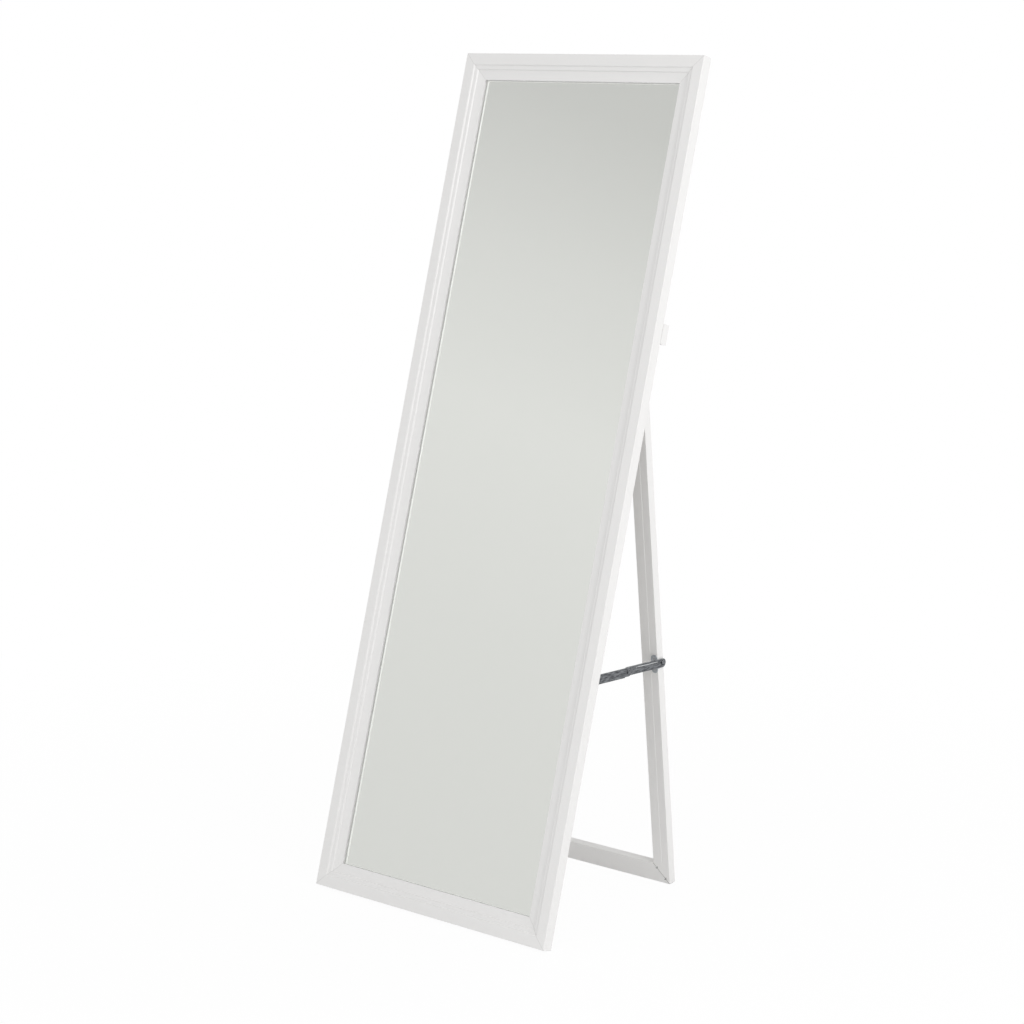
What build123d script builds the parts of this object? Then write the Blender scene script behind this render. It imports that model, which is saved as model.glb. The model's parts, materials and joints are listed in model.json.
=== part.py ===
from build123d import *

import os
from math import cos, hypot, radians, sin, sqrt

# Floor mirror in millimetres: X across, Y to the back, Z up, with the floor at Z = 0.
# A framed mirror leans back on a hinged rear leg, which two folding stays hold open.

# Whole mirror and its stance
frame_width = 550
frame_height = 1600
frame_depth = 23.5
lean_angle = 16.26
leg_open_angle = 22.31

# Frame moulding, measured inwards from its outer edge and back from its front face
moulding_width = 49.3
rebate_width = 11.8
band_width = 21.5
bead_width = 6.5
riser_run = 0.9
first_riser_drop = 2.8
bead_drop = 0.5
second_riser_drop = 2.5
slope_drop = 2.9
slope_hollow = 0.5
slope_hollow_radius = 60
lip_thickness = 4.5
band_edge_radius = 2.5
step_edge_radius = 0.4
lip_edge_radius = 0.5
front_edge_radius = 1.0
back_edge_radius = 2.0

# Glass, coating, film and back panel in the rebate
rebate_clearance = 1.0
glass_thickness = 3.0
silvering_thickness = 0.1
film_thickness = 0.2
panel_thickness = 3.2

# Flat points that hold the back panel
point_width = 8.0
point_grip = 6.0
point_reach = 7.0
point_tip = 3.0
point_thickness = 0.6
points_per_stile = 5
points_per_rail = 2

# V-nails across the mitres
v_nail_leg = 4.5
v_nail_thickness = 0.8
v_nail_depth = 10.0
v_nail_set = 0.6
frame_nail_outer_inset = 10.0
frame_nail_inner_inset = 13.5
leg_nail_outer_inset = 7.6
leg_nail_inner_inset = 9.4

# Batten across the back, which carries the hinges
batten_bottom = 1085.0
batten_width = 36.0
batten_thickness = 17.5
batten_edge_radius = 2.0
batten_screw_spacing = 17.0

# Rear leg frame, with a low step along its members' front face
leg_side_clearance = 5.5
leg_member_width = 36.0
leg_thickness = 17.5
leg_edge_radius = 1.0
leg_step_margin = 2.0
leg_step_rise = 0.4
leg_mitre_gap = 0.3

# Butt hinges
hinge_gap = 1.5
hinge_inset = 82.0
hinge_length = 50.0
hinge_knuckles = 5
barrel_radius = 2.6
barrel_clearance = 0.3
knuckle_gap = 0.3
leaf_width = 22.0
leaf_thickness = 1.6
leaf_corner_radius = 2.0
leaf_screw_height = 13.0
leaf_screw_spacing = 32.0
pin_radius = 1.4
pin_clearance = 0.05
pin_head_radius = 2.2
pin_head_thickness = 0.8

# Countersunk screws: head radius, shank radius and length
batten_screw = (3.6, 1.8, 35.0)
leaf_screw = (2.8, 1.3, 15.0)
bracket_screw = (2.7, 1.3, 14.0)
recess_width = 0.8
recess_depth = 0.8

# Folding stays: pivots, sheet and arms
stay_leg_reach = 598.0
stay_shut_step = 12.95
pivot_offset = 12.0
sheet_thickness = 1.5
layer_gap = 0.3
head_clearance = 0.7
arm_width = 16.5
rib_height = 0.8
rib_width = 3.6
rib_shift = 2.8
rib_pivot_end = 14.0
rib_knuckle_end = 26.0
flange_height = 3.5
flange_end = 13.0
flange_corner = 3.0

# Stay rivets
rivet_radius = 2.5
rivet_head_radius = 4.6
rivet_head_thickness = 1.4
rivet_edge_radius = 0.8
knuckle_inner_head_thickness = 1.1
knuckle_boss_radius = 4.2
knuckle_split = 0.2

# Stay brackets
plate_width = 14.0
plate_height = 35.0
plate_screw_spacing = 21.0
ear_root_height = 17.0
ear_boss_radius = 7.2


# Reference planes: x runs across, y up along the wood and z forwards through it

lean = radians(lean_angle)
leg_lean = radians(lean_angle - leg_open_angle)

# Levels across the frame's section, forwards from its back face
bead_top = frame_depth - first_riser_drop
bead_end = bead_top - bead_drop
slope_top = bead_end - second_riser_drop
lip_front = slope_top - slope_drop
stack_front = lip_front - lip_thickness

# The leg stands between the rebates' walls, and its low outer band holds the stays' plates
rebate_wall = moulding_width - rebate_width
leg_frame_width = frame_width - 2 * (rebate_wall + leg_side_clearance)
leg_step_inset = plate_width + leg_step_margin
hinge_x = leg_frame_width / 2 - hinge_inset

# The mirror stands on its rounded back edge, with the middle of its footprint at Y = 0
heel_drop = back_edge_radius * (1 - cos(lean) - sin(lean))
front_centre = frame_depth - front_edge_radius
top_centre = frame_height - back_edge_radius
front_reach = front_centre * cos(lean) - front_edge_radius * sin(lean) + front_edge_radius
back_reach = top_centre * sin(lean) - back_edge_radius * cos(lean) + back_edge_radius
heel_y = (front_reach - back_reach) / 2
mirror_plane = Plane(
    origin=(0, heel_y, heel_drop),
    x_dir=(1, 0, 0),
    z_dir=(0, -cos(lean), sin(lean)),
)

# Both halves of a hinge turn on this axis, behind the wood's rear face
hinge_offset = barrel_radius + barrel_clearance
hinge_height = batten_bottom - hinge_gap / 2
hinge_axis = mirror_plane.from_local_coords((0, hinge_height, -batten_thickness - hinge_offset))
batten_hinge_plane = Plane(origin=hinge_axis, x_dir=(1, 0, 0), z_dir=mirror_plane.z_dir)
leg_hinge_plane = Plane(
    origin=hinge_axis,
    x_dir=(1, 0, 0),
    z_dir=(0, -cos(leg_lean), sin(leg_lean)),
)

# The leg reaches from the hinge axis to the floor, where it stands on its rounded front edge
leg_front = hinge_offset + leg_thickness
foot_centre = hinge_axis.Z + (leg_front - leg_edge_radius) * sin(leg_lean) - leg_edge_radius
leg_reach = leg_edge_radius + foot_centre / cos(leg_lean)
leg_height = leg_reach - hinge_gap / 2
leg_plane = Plane(
    origin=leg_hinge_plane.from_local_coords((0, -leg_reach, hinge_offset)),
    x_dir=(1, 0, 0),
    z_dir=leg_hinge_plane.z_dir,
)

# A stay's arms lie in line while the leg is open, and one over the other when it is shut.
# Then the leg's pivot is a step above the frame's, and both arms reach up to the knuckle.
stay_frame_height = hinge_height - stay_leg_reach - stay_shut_step
frame_pivot = mirror_plane.from_local_coords((0, stay_frame_height, -pivot_offset))
leg_pivot = leg_hinge_plane.from_local_coords((0, -stay_leg_reach, leg_front - pivot_offset))
open_span = (leg_pivot - frame_pivot).length
shut_span = hypot(stay_shut_step, leg_thickness - batten_thickness)
leg_arm_length = (open_span - shut_span) / 2
frame_arm_length = (open_span + shut_span) / 2
knuckle = frame_pivot + (leg_pivot - frame_pivot).normalized() * frame_arm_length

# Layers of the right stay, outwards from the leg's side
arm_gap = layer_gap + rivet_head_thickness + head_clearance
leg_ear_outer = leg_frame_width / 2 + sheet_thickness
leg_arm_inner = leg_ear_outer + layer_gap
frame_arm_inner = leg_arm_inner + sheet_thickness + arm_gap
frame_ear_inner = frame_arm_inner + sheet_thickness + layer_gap


# Shapes that several pieces share


def frame_outline():
    # Section of the frame moulding: inwards from the outer edge, and forwards from the back
    bead_start = band_width + riser_run
    slope_start = bead_start + bead_width + riser_run
    slope_middle = ((slope_start + moulding_width) / 2, (slope_top + lip_front) / 2 - slope_hollow)
    corners = {
        (0, 0): back_edge_radius,
        (0, frame_depth): front_edge_radius,
        (band_width, frame_depth): band_edge_radius,
        (bead_start, bead_top): step_edge_radius,
        (bead_start + bead_width, bead_end): step_edge_radius,
        (slope_start, slope_top): step_edge_radius,
        slope_middle: slope_hollow_radius,
        (moulding_width, lip_front): lip_edge_radius,
        (moulding_width, stack_front): 0,
        (rebate_wall, stack_front): 0,
        (rebate_wall, 0): 0,
    }
    return corners


def leg_outline():
    # Section of the leg's members, with the step along the front face
    front = leg_thickness + leg_step_rise
    corners = {
        (0, 0): leg_edge_radius,
        (0, leg_thickness): leg_edge_radius,
        (leg_step_inset, leg_thickness): 0,
        (leg_step_inset + leg_step_rise, front): 0,
        (leg_member_width, front): leg_edge_radius,
        (leg_member_width, 0): leg_edge_radius,
    }
    return corners


def frame_sides(base, width, height):
    # The sides of a rectangular frame: middle of the outer edge, inward direction and length
    return {
        "top_rail": (base.from_local_coords((0, height, 0)), -base.y_dir, width),
        "bottom_rail": (base.from_local_coords((0, 0, 0)), base.y_dir, width),
        "left_stile": (base.from_local_coords((-width / 2, height / 2, 0)), base.x_dir, height),
        "right_stile": (base.from_local_coords((width / 2, height / 2, 0)), -base.x_dir, height),
    }


def mitred_member(side, forwards, corners, width, depth, gap=0):
    # A straight member of the given section, with both ends cut at 45 degrees
    middle, inwards, length = side
    across = Plane(origin=middle, x_dir=inwards, z_dir=inwards.cross(forwards))
    along = Plane(origin=middle, x_dir=across.z_dir, z_dir=forwards)
    half = length / 2 - gap / sqrt(2)
    with BuildPart() as member:
        with BuildSketch(across):
            with BuildLine():
                FilletPolyline(*corners.keys(), radius=list(corners.values()), close=True)
            make_face()
        extrude(amount=length / 2, both=True)
        with BuildSketch(along):
            with BuildLine():
                Polyline((-half, 0), (half, 0), (half - width, width), (width - half, width), close=True)
            make_face()
        extrude(amount=depth, mode=Mode.INTERSECT)
    return member.part


def v_nails(base, width, height, insets, depth):
    # L-shaped nails that straddle the mitres of all four corners
    turned_corners = (
        Location((-width / 2, 0, 0), (0, 0, 0)),
        Location((width / 2, 0, 0), (0, 0, 90)),
        Location((width / 2, height, 0), (0, 0, 180)),
        Location((-width / 2, height, 0), (0, 0, 270)),
    )
    with BuildPart() as nails:
        with BuildSketch(base):
            with Locations(*turned_corners):
                with Locations(*[(inset, inset) for inset in insets]):
                    Rectangle(v_nail_leg, v_nail_thickness, align=(Align.MIN, Align.MIN))
                    Rectangle(v_nail_thickness, v_nail_leg, align=(Align.MIN, Align.MIN))
        extrude(amount=depth)
    return nails.part


def screws(places, size, recessed=True):
    # Countersunk screws with each head's face in its place's plane and the tip below it
    head_radius, shank_radius, length = size
    with BuildPart() as shape:
        with BuildSketch(Plane.XZ):
            with BuildLine():
                Polyline(
                    (0, 0),
                    (head_radius, 0),
                    (shank_radius, shank_radius - head_radius),
                    (shank_radius, 2 * shank_radius - length),
                    (0, -length),
                    close=True,
                )
            make_face()
        revolve(axis=Axis.Z)
        if recessed:
            with BuildSketch(Plane.XY):
                Rectangle(head_radius, recess_width)
                Rectangle(recess_width, head_radius)
            extrude(amount=-recess_depth, mode=Mode.SUBTRACT)
    with BuildPart() as group:
        with Locations(*places):
            add(shape.part)
    return group.part


def mirrored_pair(piece):
    # A right-hand piece and its left-hand twin
    with BuildPart() as pair:
        add(piece)
        mirror(piece, about=Plane.YZ)
    return pair.part


def leaf_screw_places(base, up):
    # Both screws of both hinges, from behind through the leaves that lie above or below the axis
    places = []
    for centre in (-hinge_x, hinge_x):
        for side in (-1, 1):
            x = centre + side * leaf_screw_spacing / 2
            head = base.from_local_coords((x, up * leaf_screw_height, hinge_offset - leaf_thickness))
            places.append(Plane(head, x_dir=(1, 0, 0), z_dir=-base.z_dir))
    return places


def hinge_leaf(base, centre, up, own_knuckles, hole_radius):
    # A leaf flat on the wood above or below the axis, with its own knuckles of the barrel
    pitch = hinge_length / hinge_knuckles
    start = centre - hinge_length / 2
    knuckle_length = pitch - knuckle_gap
    with BuildPart() as leaf:
        with BuildSketch(base.offset(hinge_offset)):
            with Locations((centre, up * (leaf_width + hinge_offset) / 2)):
                RectangleRounded(hinge_length, leaf_width - hinge_offset, leaf_corner_radius)
            for index in own_knuckles:
                with Locations((start + (index + 0.5) * pitch, up * hinge_offset)):
                    Rectangle(knuckle_length, 2 * hinge_offset)
        extrude(amount=-leaf_thickness)
        for index in own_knuckles:
            with BuildSketch(hinge_section(start + index * pitch + knuckle_gap / 2)):
                Circle(barrel_radius)
            extrude(amount=knuckle_length)
        with BuildSketch(hinge_section(start)):
            Circle(hole_radius)
        extrude(amount=hinge_length, mode=Mode.SUBTRACT)
        add(screws(leaf_screw_places(base, up), leaf_screw, recessed=False), mode=Mode.SUBTRACT)
    return leaf.part


def hinge_section(x):
    # Plane square to the hinge axis at the given x
    return Plane(origin=(x, hinge_axis.Y, hinge_axis.Z), z_dir=(1, 0, 0))


def stay_bracket(place, pivot_z):
    # A plate on the wood, and an ear bent square off it that carries the rivet.
    # In place, x runs from the ear to the plate and z away from the wood.
    plate_end = sheet_thickness + plate_width
    ear_end = pivot_z + ear_boss_radius if pivot_z > 0 else pivot_z - ear_boss_radius
    bend_z = 0 if pivot_z > 0 else sheet_thickness
    inner_z = sheet_thickness - bend_z
    low = min(ear_end, 0)
    high = max(ear_end, sheet_thickness)
    with BuildPart() as bracket:
        with BuildSketch(Plane(place.origin, x_dir=place.x_dir, z_dir=-place.y_dir)):
            with BuildLine():
                FilletPolyline(
                    (0, ear_end),
                    (0, bend_z),
                    (plate_end, bend_z),
                    (plate_end, inner_z),
                    (sheet_thickness, inner_z),
                    (sheet_thickness, ear_end),
                    radius=[0, sheet_thickness, 0, 0, 0, 0],
                    close=True,
                )
            make_face()
        extrude(amount=plate_height / 2, both=True)
        with BuildSketch(place.offset(low)):
            with Locations((sheet_thickness + plate_width / 2, 0)):
                SlotOverall(plate_height, plate_width, rotation=90)
                Rectangle(plate_width + 2 * sheet_thickness, ear_root_height)
        extrude(amount=high - low, mode=Mode.INTERSECT)
        with BuildSketch(Plane(place.origin, x_dir=place.y_dir, z_dir=place.x_dir)):
            with Locations((0, pivot_z)):
                Circle(ear_boss_radius)
            with Locations((0, sheet_thickness / 2)):
                Rectangle(ear_root_height, sheet_thickness)
            make_hull()
            with Locations((0, sheet_thickness / 2)):
                Rectangle(plate_height, sheet_thickness)
        extrude(amount=plate_end, mode=Mode.INTERSECT)
        with BuildSketch(rivet_plane(place, pivot_z)):
            Circle(rivet_radius)
        extrude(amount=sheet_thickness, mode=Mode.SUBTRACT)
        add(screws(plate_screw_places(place), bracket_screw, recessed=False), mode=Mode.SUBTRACT)
    return bracket.part


def plate_screw_places(place):
    # The two screws through a bracket's plate, above and below its ear
    places = []
    for side in (-1, 1):
        x = sheet_thickness + plate_width / 2
        head = place.from_local_coords((x, side * plate_screw_spacing / 2, sheet_thickness))
        places.append(Plane(head, x_dir=place.x_dir, z_dir=place.z_dir))
    return places


def rivet_plane(place, pivot_z):
    # Plane on the ear's inner face, looking out towards the arm
    origin = place.from_local_coords((sheet_thickness, 0, pivot_z))
    return Plane(origin, x_dir=place.y_dir, z_dir=-place.x_dir)


def bracket_rivet(place, pivot_z):
    # Rivet through ear and arm, with a rounded head that keeps the arm on
    start = rivet_plane(place, pivot_z)
    shank = 2 * (sheet_thickness + layer_gap)
    with BuildPart() as rivet:
        with BuildSketch(start):
            Circle(rivet_radius)
        extrude(amount=shank)
        with BuildSketch(start.offset(shank)):
            Circle(rivet_head_radius)
        extrude(amount=rivet_head_thickness)
        fillet(rivet.edges().sort_by(Axis(start.origin, start.z_dir))[-1], rivet_edge_radius)
    return rivet.part


def arm_plane(pivot, inner_face):
    # Plane on an arm's inner face, with x from its bracket's pivot to the knuckle
    origin = Vector(inner_face, pivot.Y, pivot.Z)
    return Plane(origin, x_dir=knuckle - pivot, z_dir=(1, 0, 0))


def arm_web(plane, length):
    # Flat arm with a round eye at each end: loose on its bracket's rivet, tight on the knuckle's
    with BuildPart() as web:
        with BuildSketch(plane):
            with Locations((length / 2, 0)):
                SlotCenterToCenter(length, arm_width)
            Circle(rivet_radius + pin_clearance, mode=Mode.SUBTRACT)
            with Locations((length, 0)):
                Circle(rivet_radius, mode=Mode.SUBTRACT)
        extrude(amount=sheet_thickness)
    return web.part


def knuckle_rivet(head_plane, head_thickness):
    # One arm's half of the knuckle's rivet: head, shank in the arm, boss in the arms' gap
    boss_plane = head_plane.offset(-sheet_thickness)
    with BuildPart() as rivet:
        with BuildSketch(head_plane):
            Circle(rivet_radius)
        extrude(amount=-sheet_thickness)
        with BuildSketch(boss_plane):
            Circle(knuckle_boss_radius)
        extrude(amount=-(arm_gap - knuckle_split) / 2)
        with BuildSketch(head_plane):
            Circle(rivet_head_radius)
        extrude(amount=head_thickness)
        fillet(rivet.edges().sort_by(Axis(head_plane.origin, head_plane.z_dir))[-1], rivet_edge_radius)
    return rivet.part


def save(piece, name):
    piece.part.label = name
    export_step(piece.part, f"parts/{name}.step")


os.makedirs("parts", exist_ok=True)


# Places of the screws and brackets

batten_screw_places = []
stile_middle = (frame_width - rebate_wall) / 2
for screw_x in (-stile_middle, stile_middle):
    for spread in (-batten_screw_spacing / 2, batten_screw_spacing / 2):
        screw_height = batten_bottom + batten_width / 2 + spread
        head_point = mirror_plane.from_local_coords((screw_x, screw_height, -batten_thickness))
        batten_screw_places.append(Plane(head_point, x_dir=(1, 0, 0), z_dir=-mirror_plane.z_dir))

frame_bracket_place = Plane(
    origin=mirror_plane.from_local_coords((frame_ear_inner, stay_frame_height, 0)),
    x_dir=(1, 0, 0),
    z_dir=-mirror_plane.z_dir,
)
leg_bracket_place = Plane(
    origin=leg_hinge_plane.from_local_coords((leg_ear_outer, -stay_leg_reach, leg_front)),
    x_dir=(-1, 0, 0),
    z_dir=leg_hinge_plane.z_dir,
)


# Stack in the rebate, from the lip to the back

sheet_width = frame_width - 2 * (rebate_wall + rebate_clearance)
sheet_height = frame_height - 2 * (rebate_wall + rebate_clearance)
stack = {
    "mirror_glass": glass_thickness,
    "mirror_silvering": silvering_thickness,
    "safety_film": film_thickness,
    "back_panel": panel_thickness,
}
stack_back = stack_front
for sheet_name, thickness in stack.items():
    with BuildPart() as sheet:
        with BuildSketch(mirror_plane.offset(stack_back)):
            with Locations((0, frame_height / 2)):
                Rectangle(sheet_width, sheet_height)
        extrude(amount=-thickness)
    save(sheet, sheet_name)
    stack_back -= thickness


# Flat points, driven into the rebate's wall and lying on the back panel

with BuildPart() as panel_points:
    wall_x = frame_width / 2 - rebate_wall
    with BuildSketch(mirror_plane.offset(stack_back)):
        places = []
        for index in range(points_per_stile):
            y = rebate_wall + (index + 0.5) * (frame_height - 2 * rebate_wall) / points_per_stile
            places.append(Location((-wall_x, y, 0), (0, 0, 0)))
            places.append(Location((wall_x, y, 0), (0, 0, 180)))
        for index in range(points_per_rail):
            x = (index + 0.5) * 2 * wall_x / points_per_rail - wall_x
            places.append(Location((x, rebate_wall, 0), (0, 0, 90)))
            places.append(Location((x, frame_height - rebate_wall, 0), (0, 0, 270)))
        with Locations(*places):
            Polygon(
                (-point_grip, 0),
                (point_tip - point_grip, -point_width / 2),
                (point_reach, -point_width / 2),
                (point_reach, point_width / 2),
                (point_tip - point_grip, point_width / 2),
                align=None,
            )
    extrude(amount=-point_thickness)
save(panel_points, "panel_points")


# Main frame: nails and screws first, then the members cut around them

frame_nail_insets = (frame_nail_outer_inset, rebate_wall - frame_nail_inner_inset)
with BuildPart() as frame_v_nails:
    nail_plane = mirror_plane.offset(v_nail_set)
    nail_length = v_nail_depth - v_nail_set
    add(v_nails(nail_plane, frame_width, frame_height, frame_nail_insets, nail_length))
save(frame_v_nails, "frame_v_nails")

with BuildPart() as batten_screws:
    add(screws(batten_screw_places, batten_screw))
save(batten_screws, "batten_screws")

with BuildPart() as stay_frame_bracket_screws:
    add(mirrored_pair(screws(plate_screw_places(frame_bracket_place), bracket_screw)))
save(stay_frame_bracket_screws, "stay_frame_bracket_screws")

frame_cuts = (
    v_nails(mirror_plane, frame_width, frame_height, frame_nail_insets, v_nail_depth),
    panel_points.part,
    screws(batten_screw_places, batten_screw, recessed=False),
    mirrored_pair(screws(plate_screw_places(frame_bracket_place), bracket_screw, recessed=False)),
)
for side_name, side in frame_sides(mirror_plane, frame_width, frame_height).items():
    with BuildPart() as frame_member:
        add(mitred_member(side, mirror_plane.z_dir, frame_outline(), moulding_width, frame_depth))
        for cut in frame_cuts:
            add(cut, mode=Mode.SUBTRACT)
    save(frame_member, f"frame_{side_name}")


# Batten, with the fixed leaves' screws in it

with BuildPart() as hinge_fixed_screws:
    add(screws(leaf_screw_places(batten_hinge_plane, up=1), leaf_screw))
save(hinge_fixed_screws, "hinge_fixed_screws")

with BuildPart() as hinge_batten:
    with BuildSketch(mirror_plane):
        with Locations((0, batten_bottom + batten_width / 2)):
            Rectangle(frame_width, batten_width)
    extrude(amount=-batten_thickness)
    rear_edges = hinge_batten.faces().sort_by(Axis(mirror_plane.origin, mirror_plane.z_dir))[0].edges()
    fillet(rear_edges, batten_edge_radius)
    add(screws(batten_screw_places, batten_screw, recessed=False), mode=Mode.SUBTRACT)
    fixed_leaf_bores = screws(leaf_screw_places(batten_hinge_plane, up=1), leaf_screw, recessed=False)
    add(fixed_leaf_bores, mode=Mode.SUBTRACT)
save(hinge_batten, "hinge_batten")


# Hinges, with the fixed leaf on the batten and the moving leaf on the leg

moving_knuckles = range(1, hinge_knuckles, 2)
fixed_knuckles = range(0, hinge_knuckles, 2)
for hinge_side, centre in (("left", -hinge_x), ("right", hinge_x)):
    with BuildPart() as fixed_leaf:
        add(hinge_leaf(batten_hinge_plane, centre, 1, fixed_knuckles, pin_radius))
    save(fixed_leaf, f"hinge_{hinge_side}_fixed_leaf")

    with BuildPart() as moving_leaf:
        add(hinge_leaf(leg_hinge_plane, centre, -1, moving_knuckles, pin_radius + pin_clearance))
    save(moving_leaf, f"hinge_{hinge_side}_moving_leaf")

    with BuildPart() as pin:
        pin_length = hinge_length - knuckle_gap
        middle = hinge_section(centre)
        with BuildSketch(middle):
            Circle(pin_radius)
        extrude(amount=pin_length / 2, both=True)
        for head_start in (pin_length / 2, -pin_length / 2 - pin_head_thickness):
            with BuildSketch(middle.offset(head_start)):
                Circle(pin_head_radius)
            extrude(amount=pin_head_thickness)
    save(pin, f"hinge_{hinge_side}_pin")


# Rear leg: nails and screws first, then the members cut around them

leg_depth = leg_thickness + leg_step_rise
leg_nail_plane = leg_plane.offset(leg_depth)
leg_nail_insets = (leg_nail_outer_inset, leg_member_width - leg_nail_inner_inset)
with BuildPart() as leg_v_nails:
    nail_length = v_nail_set - v_nail_depth
    sunk_plane = leg_nail_plane.offset(-v_nail_set)
    add(v_nails(sunk_plane, leg_frame_width, leg_height, leg_nail_insets, nail_length))
save(leg_v_nails, "leg_v_nails")

with BuildPart() as hinge_moving_screws:
    add(screws(leaf_screw_places(leg_hinge_plane, up=-1), leaf_screw))
save(hinge_moving_screws, "hinge_moving_screws")

with BuildPart() as stay_leg_bracket_screws:
    add(mirrored_pair(screws(plate_screw_places(leg_bracket_place), bracket_screw)))
save(stay_leg_bracket_screws, "stay_leg_bracket_screws")

leg_cuts = (
    v_nails(leg_nail_plane, leg_frame_width, leg_height, leg_nail_insets, -v_nail_depth),
    screws(leaf_screw_places(leg_hinge_plane, up=-1), leaf_screw, recessed=False),
    mirrored_pair(screws(plate_screw_places(leg_bracket_place), bracket_screw, recessed=False)),
)
for side_name, side in frame_sides(leg_plane, leg_frame_width, leg_height).items():
    with BuildPart() as leg_member:
        outline = leg_outline()
        add(mitred_member(side, leg_plane.z_dir, outline, leg_member_width, leg_depth, leg_mitre_gap))
        for cut in leg_cuts:
            add(cut, mode=Mode.SUBTRACT)
    save(leg_member, f"leg_{side_name}")


# Folding stays: the right one is drawn and the left one mirrored from it

with BuildPart() as frame_bracket:
    add(stay_bracket(frame_bracket_place, pivot_offset))

with BuildPart() as leg_bracket:
    add(stay_bracket(leg_bracket_place, -pivot_offset))

with BuildPart() as frame_rivet:
    add(bracket_rivet(frame_bracket_place, pivot_offset))

with BuildPart() as leg_rivet:
    add(bracket_rivet(leg_bracket_place, -pivot_offset))

# The leg arm has a pressed rib along its upper half
leg_arm_plane = arm_plane(leg_pivot, leg_arm_inner)
rib_length = leg_arm_length - rib_pivot_end - rib_knuckle_end
with BuildPart() as leg_arm:
    add(arm_web(leg_arm_plane, leg_arm_length))
    with BuildSketch(leg_arm_plane.offset(sheet_thickness)):
        with Locations((rib_pivot_end + rib_length / 2, -rib_shift)):
            SlotOverall(rib_length, rib_width)
    extrude(amount=rib_height)
    with BuildSketch(leg_arm_plane):
        with Locations((rib_pivot_end + rib_length / 2, -rib_shift)):
            SlotOverall(rib_length - rib_height, rib_width - rib_height)
    extrude(amount=rib_height, mode=Mode.SUBTRACT)

# The frame arm has a flange turned out along its lower edge
frame_arm_plane = arm_plane(frame_pivot, frame_arm_inner)
with BuildPart() as frame_arm:
    add(arm_web(frame_arm_plane, frame_arm_length))
    flange_face = Plane(
        origin=frame_arm_plane.from_local_coords((0, sheet_thickness - arm_width / 2, sheet_thickness)),
        x_dir=frame_arm_plane.x_dir,
        z_dir=-frame_arm_plane.y_dir,
    )
    with BuildSketch(flange_face):
        with BuildLine():
            Polyline(
                (flange_end, 0),
                (frame_arm_length - flange_end, 0),
                (frame_arm_length - flange_end - flange_corner, flange_height),
                (flange_end + flange_corner, flange_height),
                close=True,
            )
        make_face()
    extrude(amount=sheet_thickness)

with BuildPart() as leg_arm_rivet:
    inner_face = Plane(Vector(leg_arm_inner, knuckle.Y, knuckle.Z), z_dir=(-1, 0, 0))
    add(knuckle_rivet(inner_face, knuckle_inner_head_thickness))

with BuildPart() as frame_arm_rivet:
    outer_x = frame_arm_inner + sheet_thickness
    outer_face = Plane(Vector(outer_x, knuckle.Y, knuckle.Z), z_dir=(1, 0, 0))
    add(knuckle_rivet(outer_face, rivet_head_thickness))

right_stay = {
    "frame_bracket": frame_bracket,
    "leg_bracket": leg_bracket,
    "frame_rivet": frame_rivet,
    "leg_rivet": leg_rivet,
    "leg_arm": leg_arm,
    "frame_arm": frame_arm,
    "leg_arm_rivet": leg_arm_rivet,
    "frame_arm_rivet": frame_arm_rivet,
}
for piece_name, right_piece in right_stay.items():
    save(right_piece, f"stay_right_{piece_name}")
    with BuildPart() as left_piece:
        mirror(right_piece.part, about=Plane.YZ)
    save(left_piece, f"stay_left_{piece_name}")
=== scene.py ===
import json
from math import cos, pi, radians, sin, sqrt, tan

import bmesh
import bpy
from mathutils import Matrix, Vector


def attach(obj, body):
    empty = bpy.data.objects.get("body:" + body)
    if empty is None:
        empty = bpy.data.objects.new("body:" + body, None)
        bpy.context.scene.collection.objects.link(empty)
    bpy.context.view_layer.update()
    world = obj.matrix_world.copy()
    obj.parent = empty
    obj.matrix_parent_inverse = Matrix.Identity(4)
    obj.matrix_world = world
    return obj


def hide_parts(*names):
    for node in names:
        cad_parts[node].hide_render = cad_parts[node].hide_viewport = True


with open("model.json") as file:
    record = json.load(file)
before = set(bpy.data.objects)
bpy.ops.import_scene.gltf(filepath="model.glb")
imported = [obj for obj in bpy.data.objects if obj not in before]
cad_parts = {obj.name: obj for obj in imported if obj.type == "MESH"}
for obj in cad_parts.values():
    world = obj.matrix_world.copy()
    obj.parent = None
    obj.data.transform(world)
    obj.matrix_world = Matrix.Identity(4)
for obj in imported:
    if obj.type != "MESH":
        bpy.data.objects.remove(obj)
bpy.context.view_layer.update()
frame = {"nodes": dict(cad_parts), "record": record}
print("frame loaded:", len(frame["nodes"]), "nodes")

mirrorLean = radians(16.26)
legOpening = radians(22.31)

# How the mirror and its leg stand: each board's lean from the vertical, and its back bottom edge
mirrorStance = {
    "lean": mirrorLean,
    "foot": (0, -0.212597, -0.000480),
    "width": 0.550,
    "height": 1.600,
}
legStance = {
    "lean": mirrorLean - legOpening,
    "foot": (0, 0.217135, 0.001745),
    "width": 0.464,
    "height": 1.03842,
}
crispAngle = radians(32)  # edges sharper than this stay crisp


def forwards(stance):
    # The direction that a board's front faces
    return Vector((0, -cos(stance["lean"]), sin(stance["lean"])))


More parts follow.
